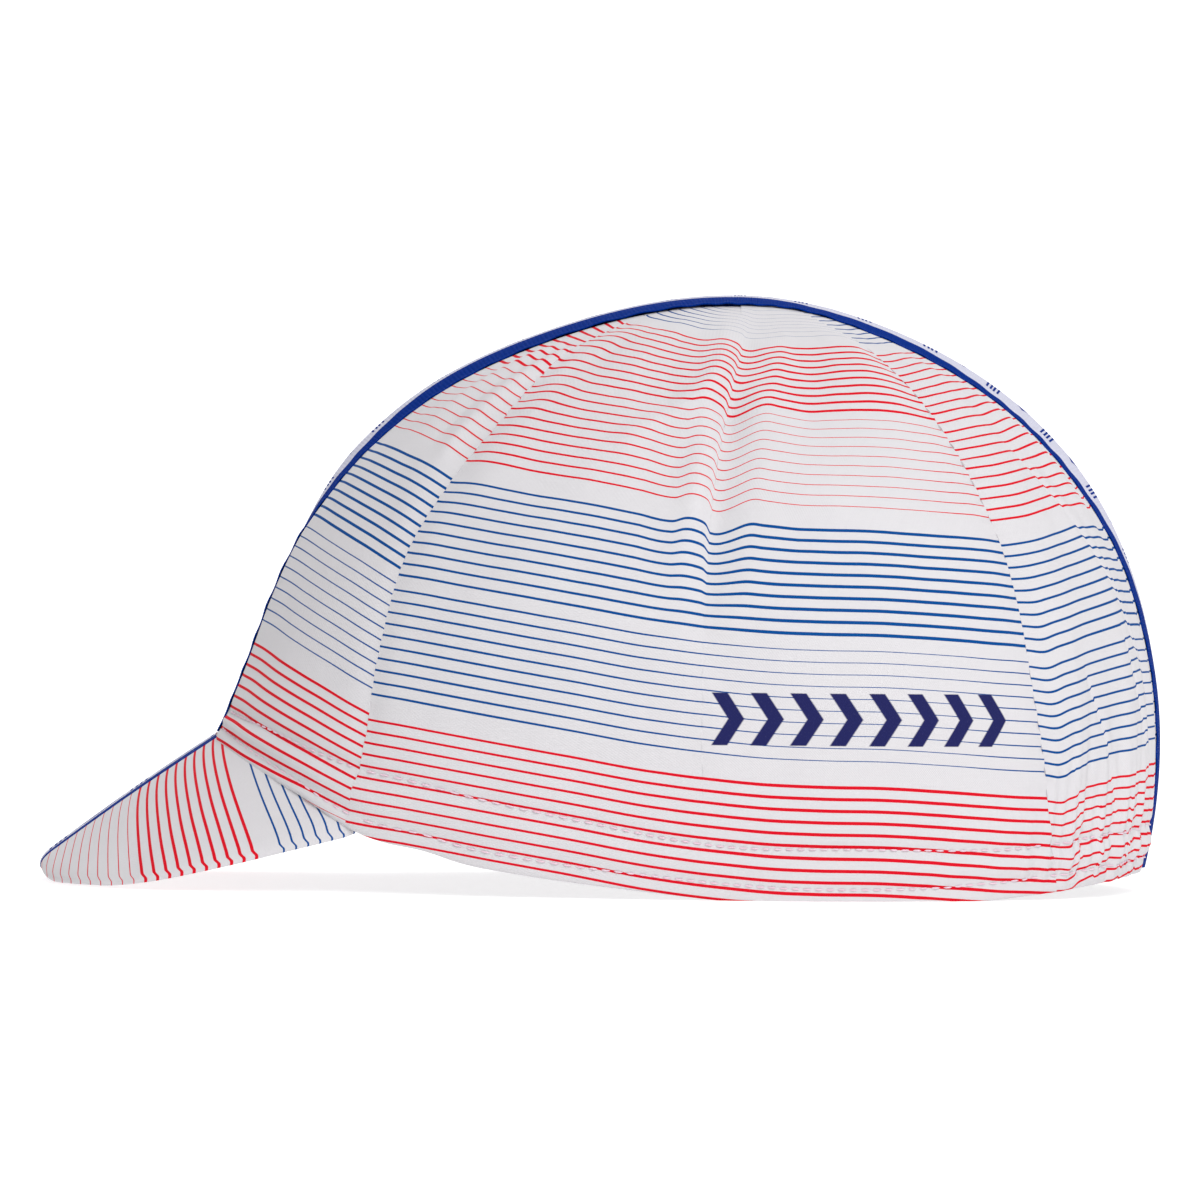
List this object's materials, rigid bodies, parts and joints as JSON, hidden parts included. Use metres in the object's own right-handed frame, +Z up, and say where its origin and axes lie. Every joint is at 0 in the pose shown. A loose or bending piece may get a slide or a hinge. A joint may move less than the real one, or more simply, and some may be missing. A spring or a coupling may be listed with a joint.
{
  "type": "cycling cap",
  "caption": "Soft cloth cap with a short turned-down peak, a striped panelled crown, a centre ribbon and an elastic gathered back.",
  "frame": {"origin": "on the surface that the cap rests on, under the middle of its bounding box", "axes": "the peak points along -X, the wearer's left is -Y, +Z is up"},
  "size_m": [0.246, 0.1568, 0.1301],
  "materials": {
    "striped_cloth": "matt woven cotton and polyester cloth, white with fine printed red and blue lines",
    "peak_cloth": "matt woven cloth over a stiff peak board, white with fine printed red and blue lines",
    "ribbon": "ribbed woven ribbon, royal blue edges with a pale middle",
    "hem_cloth": "matt woven cloth, turned in and stitched",
    "elastic": "gathered cloth over elastic"
  },
  "bodies": {
    "root": {"front_panel_left": "striped_cloth", "front_panel_right": "striped_cloth", "side_panel_left": "striped_cloth", "side_panel_right": "striped_cloth", "rear_panel_left": "striped_cloth", "rear_panel_right": "striped_cloth", "crown_ribbon": "ribbon", "hem_band": "hem_cloth", "elastic_casing": "elastic", "peak": "peak_cloth", "peak_ribbon": "ribbon"}
  },
  "joints": []
}
